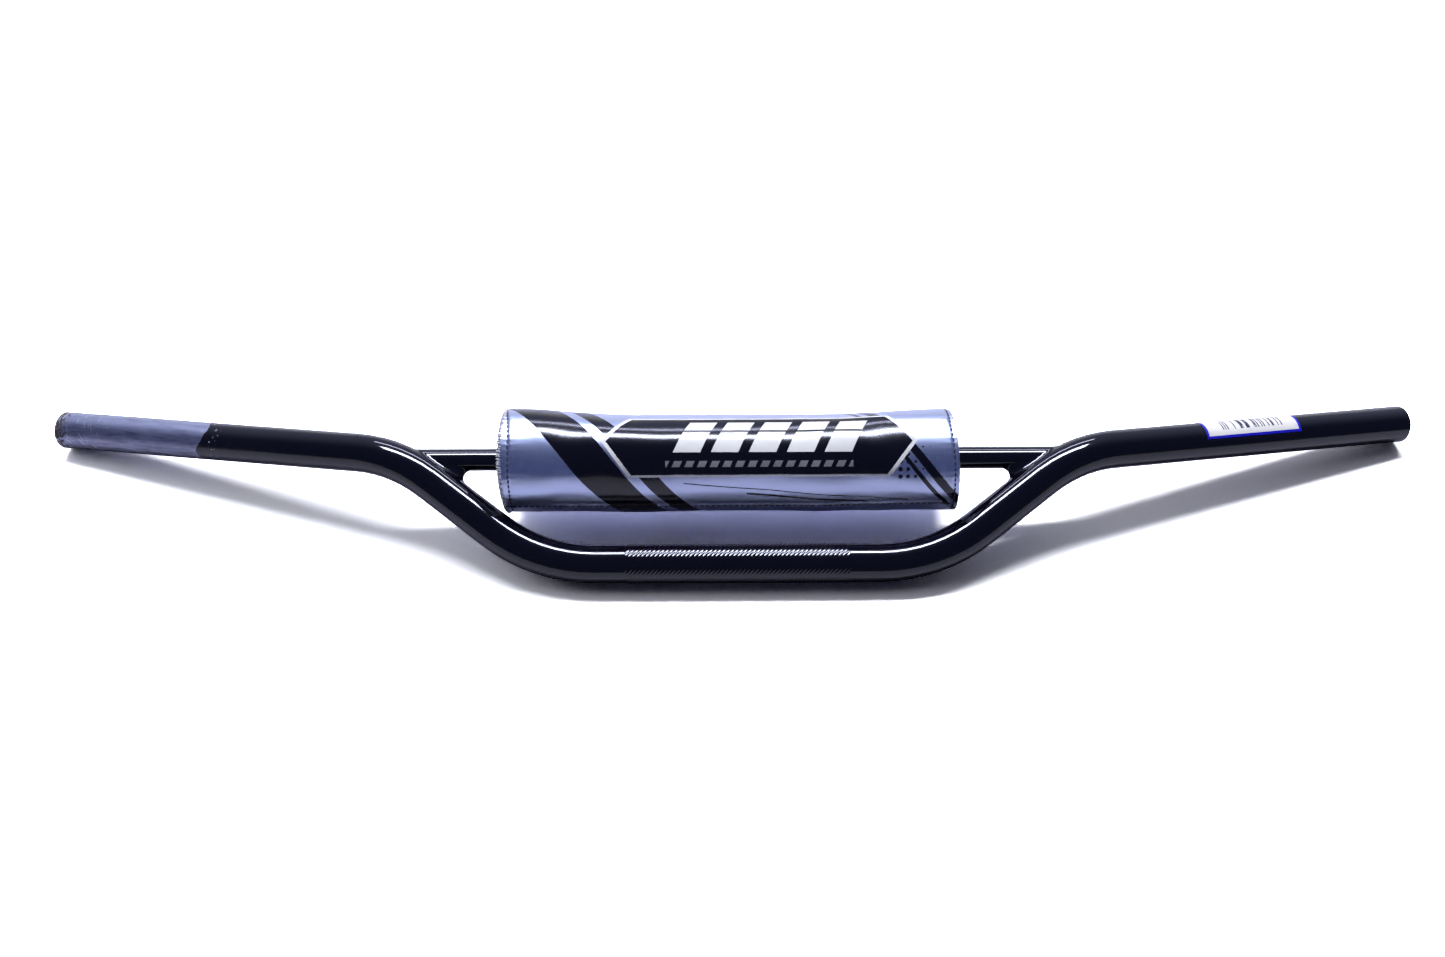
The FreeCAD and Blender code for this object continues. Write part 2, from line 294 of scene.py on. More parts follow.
def white_table():
    """Diffuse white near the bar, and an even white further out, where the lamps fall off."""
    recipe = Recipe("white_table")
    x, y, _ = recipe.parts()
    distance = (x * x + y * y).math("SQRT")
    camera_ray = recipe.node("LightPath", "Is Camera Ray")
    seen_by_gloss = reflected_or_through(recipe)
    colour = recipe.mix(camera_ray, FLOOR_COLOUR, FLOOR_SEEN)
    colour = recipe.mix(seen_by_gloss, colour, FLOOR_REFLECTED)
    lit = recipe.node("BsdfDiffuse", "BSDF", Color=colour)
    even = recipe.node("Emission", "Emission", Strength=1.0)
    far = distance.step(*FAR_FROM_BAR) * camera_ray.largest(seen_by_gloss)
    made = recipe.tree.nodes.new("ShaderNodeMixShader")
    connect(made.inputs[0], far)
    connect(made.inputs[1], lit)
    connect(made.inputs[2], even)
    return recipe.finish(Signal(made.outputs[0]))


floor_level = cad_box[0].z
floor_mesh = bpy.data.meshes.new("table")
corners = [(sx * FLOOR_HALF, sy * FLOOR_HALF, floor_level) for sx, sy in CORNER_SIGNS]
floor_mesh.from_pydata(corners, [], [(0, 1, 2, 3)])
floor = bpy.data.objects.new("table", floor_mesh)
floor.data.materials.append(white_table())
bpy.context.scene.collection.objects.link(floor)
print(f"table at {floor_level / MM:.2f} mm")

# %% [markdown]
# ## Lamps and room
#
# The photograph's shadows tell how it was lit. They fall towards the camera, they are
# dark under the right grip and pale under the left one, and right in front of the clamp
# section, which lies on the table, they are almost black. So one long lamp hangs behind
# the bar, with a small lamp close by on the left, a faint background behind that is
# brighter on the left, and nothing in front. Gloss needs something else: a dark room with
# a narrow bright lamp, whose mirror image is the crisp line along every tube, and a weaker
# one beside it. The room and those two lamps therefore answer reflected rays only.

# %% Lamps
LAMP_DISTANCE = 1.6
NEUTRAL = (1.0, 1.0, 1.0)


def long_lamp(name, elevation, length, width, watts, colour, roll=0.0, round_z=0.0, distance=LAMP_DISTANCE):
    """A flat lamp that faces the bar: rolled, raised to an elevation, then carried round Z."""
    data = bpy.data.lights.new(name, "AREA")
    data.shape = "RECTANGLE"
    data.size = length
    data.size_y = width
    data.energy = watts
    data.color = colour
    lamp = bpy.data.objects.new(name, data)
    angle = math.radians(elevation)
    carried = Matrix.Rotation(math.radians(round_z), 4, "Z")
    lamp.location = carried @ Vector((0, distance * math.cos(angle), distance * math.sin(angle)))
    raised = Matrix.Rotation(math.radians(elevation - 90), 4, "X")
    rolled = Matrix.Rotation(math.radians(roll), 4, "Z")
    lamp.rotation_euler = (carried @ raised @ rolled).to_euler()
    bpy.context.scene.collection.objects.link(lamp)
    return lamp


shadow_lamps = (
    long_lamp("soft_lamp", elevation=60.5, length=2.0, width=0.14, watts=36.0, colour=NEUTRAL, roll=6.0),
    long_lamp("left_fill", elevation=35.0, length=0.8, width=0.8, watts=0.9, colour=NEUTRAL,
              round_z=60.0, distance=0.7),
)
mirrored_lamps = (
    long_lamp("bright_line", elevation=63.3, length=1.25, width=0.26, watts=60.0, colour=(0.76, 0.80, 1.0)),
    long_lamp("thin_line", elevation=38.0, length=1.15, width=0.09, watts=7.5, colour=(0.72, 0.74, 1.0)),
)
for lamp in shadow_lamps:
    lamp.visible_glossy = False
for lamp in mirrored_lamps:
    lamp.visible_diffuse = False

# %% Room
LIGHT_LEFT, LIGHT_RIGHT = (0.34, 0.34, 0.38, 1.0), (0.15, 0.15, 0.17, 1.0)
FRONT = (0.002, 0.002, 0.004, 1.0)
DARK = (0.062, 0.078, 0.185, 1.0)
BEHIND = (0.42, 0.46, 0.70, 1.0)
WHITE = (1.0, 1.0, 1.0, 1.0)
FROM_RIGHT_TO_LEFT = (0.6, -0.6)
FROM_FRONT_TO_BACK = (-0.12, 0.12)
MIRRORED_TO_BACK = (-0.1, 0.75)
TABLE_HEIGHT, TABLE_BACK = (0.22, 0.02), (0.0, 0.35)


def room():
    """World colour by direction, one gradient for lighting and another for reflections.

    Reflections see the white table go on far behind the bar, low over the horizon.
    """
    recipe = Recipe("room", bpy.data.worlds.new("room"))
    across, behind, up = recipe.parts(recipe.node("TexCoord", "Generated"))
    background = recipe.mix(across.step(*FROM_RIGHT_TO_LEFT), LIGHT_RIGHT, LIGHT_LEFT)
    lighting = recipe.mix(behind.step(*FROM_FRONT_TO_BACK), FRONT, background)
    reflected = recipe.mix(behind.step(*MIRRORED_TO_BACK), DARK, BEHIND)
    low_behind = up.step(*TABLE_HEIGHT) * behind.step(*TABLE_BACK)
    reflected = recipe.mix(low_behind, reflected, WHITE)
    colour = recipe.mix(reflected_or_through(recipe), lighting, reflected)
    colour = recipe.mix(recipe.node("LightPath", "Is Camera Ray"), colour, WHITE)
    return recipe.finish(recipe.node("Background", "Background", Color=colour, Strength=1.0))


bpy.context.scene.world = room()

# %% [markdown]
# ## Measuring along a grip
#
# The wear at the left end and the label at the right end lie along the grips, which run
# aslant. The mounts of the construction model give a point and a direction for each grip.
# From these, three dot products turn a place into a distance from the tip in millimetres,
# and a height above the grip's axis and a distance behind it, both as shares of the radius.

# %% Coordinates of a grip
BAR_RADIUS = MOUNTS["clamp_section"]["dims"]["r_mm"]


class Grip:
    """The frame of one grip: its tip, its direction inwards, and two directions across."""

    def __init__(self, mount, plunge):
        """The tip lies plunge metres outwards of the mount, along the mount's axis."""
        outwards = Vector(MOUNTS[mount]["axis"]).normalized()
        self.tip = Vector(MOUNTS[mount]["pos_m"]) + outwards * plunge
        self.inwards = -outwards
        self.far = Vector((0, 0, 1)).cross(outwards)
        if self.far.y < 0:
            self.far = -self.far
        self.far.normalize()
        self.up = self.far.cross(outwards)
        if self.up.z < 0:
            self.up = -self.up

    def measured(self, recipe):
        """Signals: millimetres from the tip, height and depth in radii."""
        def along(direction):
            """The place measured from the tip in one direction, in millimetres."""
            dot = recipe.node("VectorMath", "Value", {"operation": "DOT_PRODUCT"})
            node = dot.socket.node
            connect(node.inputs[0], recipe.place())
            node.inputs[1].default_value = direction
            return (dot - direction.dot(self.tip)) / MM

        return along(self.inwards), along(self.up) / BAR_RADIUS, along(self.far) / BAR_RADIUS


END_MOUNT_DEPTH = 0.015
left_grip = Grip("left_bar_end", END_MOUNT_DEPTH)
right_grip = Grip("right_bar_end", END_MOUNT_DEPTH)
print("tips at", [round(v / MM, 1) for v in left_grip.tip], [round(v / MM, 1) for v in right_grip.tip])

# %% [markdown]
# ## Gloss black paint, and the bare left end
#
# The bar is powder coated: black pigment under a smooth clear film. Black paint has
# almost no colour of its own, so the work is in the gloss. A low roughness keeps the lamp
# line crisp, a faint bump makes it waver as real coating does, and dust dulls it in
# patches. At the left end a grip was pulled off with its glue, and about 100 mm of the
# paint is gone. There the steel shows: streaked lengthwise, with dark specks near the tip,
# a dark rim, and pale flecks where the paint begins. Its colour is also painted lighter
# towards the top of the grip, a painted highlight. One mask, the distance from the tip
# against a ragged limit, divides the two finishes.

# %% Paint for tube, crossbar and welds
PAINT_COLOUR = (0.0022, 0.0018, 0.0062, 1.0)
STEEL_LIGHT, STEEL_DARK = (0.34, 0.36, 0.46, 1.0), (0.10, 0.10, 0.14, 1.0)
RUST = (0.055, 0.035, 0.035, 1.0)
FLECK = (0.45, 0.47, 0.60, 1.0)
SCRATCH = (0.78, 0.80, 0.90, 1.0)
BARE_LENGTH, BARE_LONGER_ON_TOP, RAGGEDNESS, RAGGED_EDGE = 98.5, 6.5, 3.0, 0.15
RIM_END, SPECKS_END, SCRATCHES_END = 1.1, 16.0, 45.0
FLECKS_FROM, FLECKS_TO = (95.0, 100.0), (116.0, 104.0)
HANDLED_X = (-0.20, -0.30)
WEAR_DEPTH = 0.00012
WELD_DROPS = 19.0


def paint_parts(recipe):
    """Roughness and normal of the coating: orange peel, and dust in patches."""
    peel = recipe.noise(420.0)
    dust = recipe.noise(35.0, 4.0, 0.6)
    return 0.07 + dust.step(0.5, 0.75) * 0.05, recipe.bump(peel, 0.000012)


def gloss_black(name):
    """Black coating without wear."""
    recipe = Recipe(name)
    roughness, normal = paint_parts(recipe)
    return recipe.surface(Base_Color=PAINT_COLOUR, Roughness=roughness, Normal=normal)


def worn_tube():
    """Gloss black paint, and bare streaked steel beyond the ragged edge on the left grip."""
    recipe = Recipe("worn_tube")
    x, _, _ = recipe.parts()
    depth, height, behind = left_grip.measured(recipe)
    lengthwise = recipe.node("CombineXYZ", "Vector", X=depth * 0.012, Y=height, Z=behind)
    streaks = recipe.noise(7.0, 5.0, 0.65, lengthwise)
    broad = recipe.noise(2.2, vector=lengthwise)
    grit = recipe.noise(420.0, 4.0, 0.65)
    ragged = recipe.noise(260.0, 3.0, 0.6)
    limit = BARE_LENGTH + height.largest(0.0) * height * BARE_LONGER_ON_TOP + (ragged - 0.5) * RAGGEDNESS
    bare = (limit - depth).step(-RAGGED_EDGE, RAGGED_EDGE)

    # Pale streaks of the steel, plus a painted highlight: height * 0.22 paints the colour lighter towards the
    # top of the grip.
    light = (streaks * 0.55 + broad * 0.3 + height * 0.22 + 0.02).step(0.30, 0.72)
    steel = recipe.mix(light, STEEL_DARK, STEEL_LIGHT)
    speckled = (grit + depth.step(12.0, 2.0) * 0.16).step(0.60, 0.68) * depth.step(SPECKS_END, 6.0)
    steel = recipe.mix(speckled, steel, RUST)
    steel = recipe.mix(depth.step(RIM_END, 0.3) * 0.8, steel, RUST)
    aslant = depth * 0.22 + height * 1.6
    scratch_place = recipe.node("CombineXYZ", "Vector", X=aslant, Y=height * 0.25, Z=behind * 0.25)
    scratches = recipe.noise(5.0, 1.0, vector=scratch_place).step(0.66, 0.69) * depth.step(SCRATCHES_END, 20.0)
    steel = recipe.mix(scratches * 0.6, steel, SCRATCH)

    fleck_zone = depth.step(*FLECKS_FROM) * depth.step(*FLECKS_TO)
    flecks = recipe.noise(520.0).step(0.64, 0.68) * fleck_zone
    paint = recipe.mix(flecks, PAINT_COLOUR, FLECK)
    colour = recipe.mix(bare, paint, steel)
    paint_roughness, peel = paint_parts(recipe)
    handled = x.step(*HANDLED_X) * 0.12
    satin = 0.34 + streaks * 0.16 + speckled * 0.3
    normal = recipe.bump(bare * -0.6 + streaks * bare * 0.4 + flecks * 0.5, WEAR_DEPTH, 1.0, peel)
    return recipe.surface(
        Base_Color=colour,
        Metallic=bare * (1 - speckled * 0.7),
        Roughness=recipe.node("Mix", "Result", Factor=bare, A=paint_roughness + handled, B=satin),
        Normal=normal,
    )


def weld_paint():
    """The same coating over a weld: it fills the ripples of the bead and softens them."""
    recipe = Recipe("weld_paint")
    roughness, peel = paint_parts(recipe)
    _, y, z = recipe.parts()
    turn = (z - WELD_HEIGHT).math("ARCTAN2", y - WELD_DEPTH)
    drops = (turn * WELD_DROPS).math("SINE") * 0.5 + 0.5
    uneven = recipe.noise(300.0)
    normal = recipe.bump(drops * 0.6 + uneven * 0.4, 0.00003, 1.0, peel)
    return recipe.surface(Base_Color=PAINT_COLOUR, Roughness=roughness, Normal=normal)


_, WELD_DEPTH, WELD_HEIGHT = (float(value) for value in np.mean(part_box("crossbar"), axis=0))
paint = gloss_black("bar_paint")
dress("crossbar", paint)
bead_paint = weld_paint()
dress("weld_bead_left", bead_paint)
dress("weld_bead_right", bead_paint)
dress("handlebar_tube", worn_tube())

# %% [markdown]
# ## Price label
#
# A paper label is bent round the right grip. It has a blue border, and bars that stand
# for nothing: a row of narrow cells, each black or white by chance. White Noise gives the
# same chance value for the same cell number every time, so the label never changes.

# %% Label
LABEL_START, LABEL_LENGTH, LABEL_WIDTH = 79.0, 64.5, 32.3
LABEL_FRONT = math.radians(127.0)
LABEL_BORDER, BORDER_EDGE = 1.55, 0.2
CODE_ALONG, CODE_ACROSS, CODE_EDGE = (12.05, 52.95), (5.05, 16.95), 0.1
CELLS_PER_MM = 1.25
PAPER, SHADED_PAPER = (0.88, 0.88, 0.93, 1.0), (0.80, 0.80, 0.87, 1.0)
PRINT_BLACK, PRINT_BLUE = (0.008, 0.012, 0.07, 1.0), (0.001, 0.001, 0.60, 1.0)


def printed_label():
    """White paper whose print is placed by distance along the grip and round it."""
    recipe = Recipe("printed_label")
    depth, height, behind = right_grip.measured(recipe)
    across = (LABEL_FRONT - height.math("ARCTAN2", behind)) * BAR_RADIUS
    along = LABEL_START + LABEL_LENGTH - depth
    inner = along.within(LABEL_BORDER, LABEL_LENGTH - LABEL_BORDER, BORDER_EDGE)
    inner = inner * across.within(LABEL_BORDER, LABEL_WIDTH - LABEL_BORDER, BORDER_EDGE)
    cell = (along * CELLS_PER_MM).math("FLOOR")
    chance = recipe.node("TexWhiteNoise", "Value", {"noise_dimensions": "1D"}, W=cell)
    field = along.within(*CODE_ALONG, CODE_EDGE) * across.within(*CODE_ACROSS, CODE_EDGE)
    worn = recipe.noise(700.0)
    bars = chance.step(0.5, 0.52) * field * worn.step(0.2, 0.5)
    fibre = recipe.noise(2500.0, 3.0)
    colour = recipe.mix(bars, recipe.mix(fibre, PAPER, SHADED_PAPER), PRINT_BLACK)
    colour = recipe.mix(inner, PRINT_BLUE, colour)
    return recipe.surface(Base_Color=colour, Roughness=0.42, Normal=recipe.bump(fibre, 0.00002))


dress("price_label", printed_label())

# %% [markdown]
# ## Surfaces from arrays
#
# Every new piece here is a surface: a grid of points, worked out for all points at once
# with numpy, and joined into four-cornered faces. The corners of a face are listed so
# that its front points away from the piece. A grid may close on itself in either
# direction, as a tube does.

# %% From a grid of points to a mesh
def grid_faces(rows, columns, close_rows=False, close_columns=False):
    """Quads (i, j), (i, j+1), (i+1, j+1), (i+1, j): the front is columns-way cross rows-way."""
    i = np.arange(rows if close_rows else rows - 1)[:, None]
    j = np.arange(columns if close_columns else columns - 1)[None, :]
    next_i, next_j = (i + 1) % rows, (j + 1) % columns
    corners = (i * columns + j, i * columns + next_j, next_i * columns + next_j, next_i * columns + j)
    return np.stack(np.broadcast_arrays(*corners), axis=-1).reshape(-1, 4)


def new_piece(name, points, faces, material):
    """A smooth object of the handlebar from arrays of points in millimetres."""
    mesh = bpy.data.meshes.new(name)
    mesh.from_pydata((np.asarray(points).reshape(-1, 3) * MM).tolist(), [], np.asarray(faces).tolist())
    mesh.shade_smooth()
    mesh.materials.append(material)
    piece = bpy.data.objects.new(name, mesh)
    bpy.context.scene.collection.objects.link(piece)
    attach(piece, "root")
    print(name, "has", len(mesh.polygons), "faces")
    return piece


def stacked(x, y, z):
    """Points from three coordinates, which may be rows, columns or whole grids."""
    return np.stack(np.broadcast_arrays(x, y, z), axis=-1)


def smooth(value, start, end):
    """0 before start, 1 after end, and 3t2 - 2t3 between them."""
    t = np.clip((value - start) / (end - start), 0.0, 1.0)
    return t * t * (3 - 2 * t)


def plateau(value, low, high, slope):
    """0 outside two limits and 1 between them, with a smooth slope inside each limit."""
    return smooth(value, low, low + slope) * (1 - smooth(value, high - slope, high))


def bell(angle, centre, width):
    """1 at the centre angle, falling to 0.37 at width degrees away, the short way round."""
    away = (angle - centre + 180) % 360 - 180
    return np.exp(-((away / width) ** 2))


# %% [markdown]
# ## The measures of the pad
#
# The pad is a foam roll in a cover of coated fabric, wrapped round the crossbar. Its
# radius, its end seams and its axis are read from the construction model, so the soft
# surface lies exactly where the solid does. An angle round the crossbar starts at +Y,
# the far side, and grows over the top towards the camera.

# %% Measures of the pad, in millimetres and degrees
def box_mm(node):
    """Lowest and highest corner of a ready-made piece, in millimetres."""
    low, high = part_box(node)
    return np.array(low) / MM, np.array(high) / MM


crossbar_low, crossbar_high = box_mm("crossbar")
_, AXIS_Y, AXIS_Z = (crossbar_low + crossbar_high) / 2
CROSSBAR_RADIUS = (crossbar_high[2] - crossbar_low[2]) / 2
PAD_RADIUS = box_mm("pad_cover")[1][2] - AXIS_Z
COVER_THICKNESS = 0.9
LEFT_SEAM = box_mm("pad_end_left")[1][0] - COVER_THICKNESS
RIGHT_SEAM = box_mm("pad_end_right")[0][0] + COVER_THICKNESS
HEM_EDGE, HEM_END = 189.0, 222.0
COVER_START, CLOSURE_END = 232.0, 264.0
HEM_THICKNESS = 0.6
SLIT_ANGLE = (HEM_END + COVER_START) / 2


def round_axis(x, radius, angle):
    """Points at x, and at a radius and an angle in degrees round the crossbar's axis."""
    turn = np.radians(angle)
    return stacked(x, AXIS_Y + radius * np.cos(turn), AXIS_Z + radius * np.sin(turn))


print(f"pad radius {PAD_RADIUS:.1f}, seams at {LEFT_SEAM:.1f} and {RIGHT_SEAM:.1f}")

# %% [markdown]
# ## How the cover hangs
#
# The roll isn't a true cylinder. Its ends are held round by the sewn discs, and between
# them the cover is slack at the back, where the foam doesn't fill it. One formula gives
# that resting form. A cloth simulation then adds what no formula guesses well: the cover
# is pinned at both seams and along the hem, it is cut a little larger than the foam, and
# air pressure puffs it until it finds its own shallow folds. The folds are then ironed a
# little, by averaging neighbours, because tight vinyl can't bend as sharply as the mesh.

# %% Resting form of the cover
SLACK_ANGLE, SLACK_REACH, SLACK_DEPTH = 42.0, 95.0, 3.2
TIGHT_LEFT, TIGHT_RIGHT, TIGHTENED = 75, 76, 0.62


def slackness(x):
    """How slack the cover is along the pad: 0 at the left seam, 1 in the middle, 0.38 at the right."""
    rise = smooth(x, LEFT_SEAM, LEFT_SEAM + TIGHT_LEFT)
    fall = 1 - TIGHTENED * smooth(x, RIGHT_SEAM - TIGHT_RIGHT, RIGHT_SEAM)
    return rise * fall


def resting_radius(x, angle):
    """The pad's radius less a hollow round the slack side, a squared cosine of the angle."""
    away = np.clip(((angle - SLACK_ANGLE + 180) % 360 - 180) / SLACK_REACH, -1, 1)
    return PAD_RADIUS - SLACK_DEPTH * slackness(x) * np.cos(away * np.pi / 2) ** 2


# %% Cloth simulation of the cover
SIM_ROWS, SIM_COLUMNS = 66, 56
SIM_FRAMES = 20
SIM_SMALLER = 1.0
SIM_HEM_MARGIN, SIM_SEAM_MARGIN = 3, 5
FOLD_SHARE, FOLD_LIMIT = 0.6, 0.7
IRONING = 4
CLOTH = {
    "quality": 8,
    "mass": 0.4,
    "tension_stiffness": 25,
    "compression_stiffness": 25,
    "bending_stiffness": 1.5,
    "vertex_group_mass": "sewn",
    "use_pressure": True,
    "uniform_pressure_force": 4,
    "shrink_min": -0.025,
}


def settled_folds():
    """Radial folds in millimetres, on a grid of rows along the pad and columns round it."""
    x = np.linspace(LEFT_SEAM, RIGHT_SEAM, SIM_ROWS)[:, None]
    angle = np.linspace(0, 360, SIM_COLUMNS, endpoint=False)[None, :]
    start = round_axis(x, resting_radius(x, angle) - SIM_SMALLER, angle)
    mesh = bpy.data.meshes.new("cover_pattern")
    faces = grid_faces(SIM_ROWS, SIM_COLUMNS, close_columns=True)
    mesh.from_pydata((start.reshape(-1, 3) * MM).tolist(), [], faces.tolist())
    pattern = bpy.data.objects.new("cover_pattern", mesh)
    bpy.context.scene.collection.objects.link(pattern)
    grid = np.arange(SIM_ROWS * SIM_COLUMNS).reshape(SIM_ROWS, SIM_COLUMNS)
    along_hem = (angle[0] > HEM_EDGE - SIM_HEM_MARGIN) & (angle[0] < COVER_START + SIM_HEM_MARGIN)
    sewn = np.unique(np.concatenate((grid[0], grid[-1], grid[:, along_hem].ravel())))
    held = pattern.vertex_groups.new(name="sewn")
    held.add(sewn.tolist(), 1.0, "REPLACE")
    cloth = pattern.modifiers.new("cloth", "CLOTH")
    for setting, value in CLOTH.items():
        setattr(cloth.settings, setting, value)
    cloth.settings.effector_weights.gravity = 0
    cloth.point_cache.frame_start, cloth.point_cache.frame_end = 1, SIM_FRAMES
    scene = bpy.context.scene
    for number in range(1, SIM_FRAMES + 1):
        scene.frame_set(number)
    settled = pattern.evaluated_get(bpy.context.evaluated_depsgraph_get()).to_mesh()
    flat = np.empty(len(settled.vertices) * 3)
    settled.vertices.foreach_get("co", flat)
    places = flat.reshape(SIM_ROWS, SIM_COLUMNS, 3) / MM
    scene.frame_set(1)
    bpy.data.objects.remove(pattern)
    radius = np.hypot(places[..., 1] - AXIS_Y, places[..., 2] - AXIS_Z)
    swell = radius - resting_radius(x, angle)
    found = swell - swell.mean(axis=1, keepdims=True)
    found *= plateau(x, LEFT_SEAM, RIGHT_SEAM, SIM_SEAM_MARGIN)
    print(f"folds before the limit: {found.min():.2f} to {found.max():.2f} mm")
    found = np.clip(found * FOLD_SHARE, -FOLD_LIMIT, FOLD_LIMIT)
    for _ in range(IRONING):
        found = (found * 2 + np.roll(found, 1, 1) + np.roll(found, -1, 1)) / 4
        found[1:-1] = (found[1:-1] * 2 + found[:-2] + found[2:]) / 4
    return found


folds = settled_folds()


def spline_weights(t):
    """The four weights of a uniform cubic B-spline at t between two of its points."""
    near = (3 * t ** 3 - 6 * t ** 2 + 4) / 6
    next_near = (-3 * t ** 3 + 3 * t ** 2 + 3 * t + 1) / 6
    return (1 - t) ** 3 / 6, near, next_near, t ** 3 / 6


def folds_at(x, angle):
    """The simulated folds between grid points: a B-spline surface through 4 by 4 neighbours."""
    row = np.clip((x - LEFT_SEAM) / (RIGHT_SEAM - LEFT_SEAM), 0, 1) * (SIM_ROWS - 1)
    column = (angle % 360) / 360 * SIM_COLUMNS
    row, column = np.broadcast_arrays(row, column)
    i, j = np.floor(row).astype(int), np.floor(column).astype(int)
    total = np.zeros(row.shape)
    for a, row_weight in enumerate(spline_weights(row - i)):
        for b, column_weight in enumerate(spline_weights(column - j)):
            near = folds[np.clip(i + a - 1, 0, SIM_ROWS - 1), (j + b - 1) % SIM_COLUMNS]
            total += row_weight * column_weight * near
    return total


# %% [markdown]
# ## Sewing the cover
#
# A seam changes a surface in three ways: the thread pulls a groove, the cloth puckers
# beside each stitch, and beyond the seam a strip of cloth is left over up to the cut edge.
# All three are added to the radius here. The seams were sewn by hand and eye, so they
# wander a little along the pad. Rows of the grid crowd together near the seams, where the
# shape changes fast.

# %% Seam lines and sewn surface
STITCH_PITCH = 3.3
STITCHES_ROUND = 56
GROOVE_DEPTH, GROOVE_WIDTH = 0.45, 1.0
PUCKER_DEPTH, PUCKER_REACH = 0.07, 3.0
FRONT_ANGLE = 131
HEM_DROP, HEM_EDGE_SOFT = 4.0, 0.6
HEM_STITCH_LINE, HEM_STITCH_WIDTH, HEM_STITCH_DEPTH = 2.2, 0.9, 0.3


def left_seam(angle):
    """Straight but for a bell that carries it 3.2 mm outwards at the back of the top."""
    return LEFT_SEAM + 0.6 - 3.2 * bell(angle, 40, 40)


def cut_ripple(angle, depth, waves):
    """The small unevenness that scissors leave along a cut edge: a sine round the pad."""
    return depth * np.sin(np.radians(angle) * waves)


def left_edge(angle):
    """2.9 mm outside the seam's line, and a bell of 2.1 mm further at the front."""
    return LEFT_SEAM - 2.9 - 2.1 * bell(angle, FRONT_ANGLE, 55) + cut_ripple(angle, 0.12, 41)


def right_seam(angle):
    """One cosine wave round the pad: this end is sewn on slightly askew."""
    return RIGHT_SEAM - 1.6 * np.cos(np.radians(angle - 45))


def right_edge(angle):
    """2.2 mm outside the seam, and a bell of 0.3 mm further at the front."""
    return right_seam(angle) + 2.2 + 0.3 * bell(angle, FRONT_ANGLE, 60) + cut_ripple(angle, 0.1, 37)


def hem_edge(x):
    """The hem isn't quite straight: it starts lower at the left end."""
    return HEM_EDGE + HEM_DROP * (1 - smooth(x, 0, RIGHT_SEAM))


def cover_radius(x, angle):
    """Resting form and folds, plus the hem's step, less the grooves and puckers of the seams."""
    radius = resting_radius(x, angle) + folds_at(x, angle)
    ripple = np.cos(np.radians(angle) * STITCHES_ROUND)
    for away in (abs(x - left_seam(angle)), abs(x - right_seam(angle))):
        radius = radius - GROOVE_DEPTH * np.exp(-((away / GROOVE_WIDTH) ** 2))
        radius = radius + PUCKER_DEPTH * ripple * np.exp(-away / PUCKER_REACH)
    from_hem = angle % 360 - hem_edge(x)
    inside_hem = (angle % 360 < COVER_START - 1) * smooth(from_hem, -HEM_EDGE_SOFT, HEM_EDGE_SOFT)
    sewn_line = np.exp(-(((from_hem - HEM_STITCH_LINE) / HEM_STITCH_WIDTH) ** 2)) * inside_hem
    return radius + HEM_THICKNESS * inside_hem - HEM_STITCH_DEPTH * sewn_line


def crowded(count, crowding):
    """Numbers from 0 to 1 that stand closer together towards both ends."""
    t = np.linspace(-1, 1, count)
    return (np.tanh(crowding * t) / np.tanh(crowding) + 1) / 2


def cover_grid(rows, edge_rows, columns):
    """The whole sheet: a seam allowance, the pad between the seams, and the other allowance."""
    angle = np.linspace(COVER_START, HEM_END + 360, columns)[None, :]
    share = crowded(rows, 1.9)[:, None]
    margin = np.linspace(0, 1, edge_rows, endpoint=False)[:, None]
    left = left_edge(angle) + (left_seam(angle) - left_edge(angle)) * margin
    middle = left_seam(angle) + (right_seam(angle) - left_seam(angle)) * share
    right = right_edge(angle) + (right_seam(angle) - right_edge(angle)) * margin[::-1]
    return np.concatenate((left, middle, right)), angle


# %% [markdown]
# ## Print on silver vinyl
#
# The cover is silver vinyl with black and white inks. The design is worked out in two
# lengths: x along the pad, and s round it, measured on the surface from the line that
# faces the camera. Each motif is a mask that goes from 0 to 1 across a quarter of a
# millimetre, as wide as the edge of a screen print. Bands lean because their left edge is
# x plus a share of s. A distance from a middle line is never negative, so its lower limit
# can lie anywhere below nought. The design is a plain one: leaning bars, a long six-sided
# plate with a row of blocks, pinstripes and a field of dots.

# %% Masks of the print
PRINT_CENTRE = 132.0
INK_EDGE = 0.25
LEAN = 0.8
BARS = ((-97.0, 27.0), (-63.0, 11.0), (92.0, 3.0), (99.0, 6.0))
BAR_ENDS = (-62.0, 60.0)
PLATE_HALF, PLATE_TOP, PLATE_BOTTOM, PLATE_POINT = 71.0, -29.0, 9.0, 0.75
PLATE_X = 12.0
PLATE_BORDER, POINT_GROWTH = 1.3, 1.3
BELOW_ANY = -1.0
BLOCK_PITCH, BLOCK_WIDTH, BLOCK_TOP, BLOCK_BOTTOM = 21.0, 15.5, -25.0, -3.5
BLOCK_ROW, BLOCK_CUT = 50.25, (-17.5, -16.2)
BLOCK_LEAN = 0.45
DASH_PITCH, DASH, DASH_HEIGHT, DASH_ROW = 7.0, (0.5, 4.8), (1.2, 4.6), 52.0
STRIPE_DRIFT = 0.1
STRIPES = (((17.0, 17.7), (-30.0, 96.0)), ((20.5, 22.0), (5.0, 74.0)))
DOT_PITCH, DOT_LARGEST, DOTS_SHRINK = 4.2, 1.5, (122.0, 84.0)
DOTS_HIGH, DOTS_LONG = (-8.0, 13.0), (88.0, 121.0)


def between(value, low, high):
    """1 where the value lies between two limits, with edges as soft as the ink's."""
    return value.within(low, high, INK_EDGE)


def repeated(value, pitch):
    """The value's place within its pitch, from 0 up to the pitch."""
    return value.math("FLOORED_MODULO", pitch)


def leaning_bars(x, s):
    """Black bars of several widths that lean like a backslash."""
    along = x - s * LEAN
    total = sum(between(along, start, start + width) for start, width in BARS)
    return total * between(s, *BAR_ENDS)


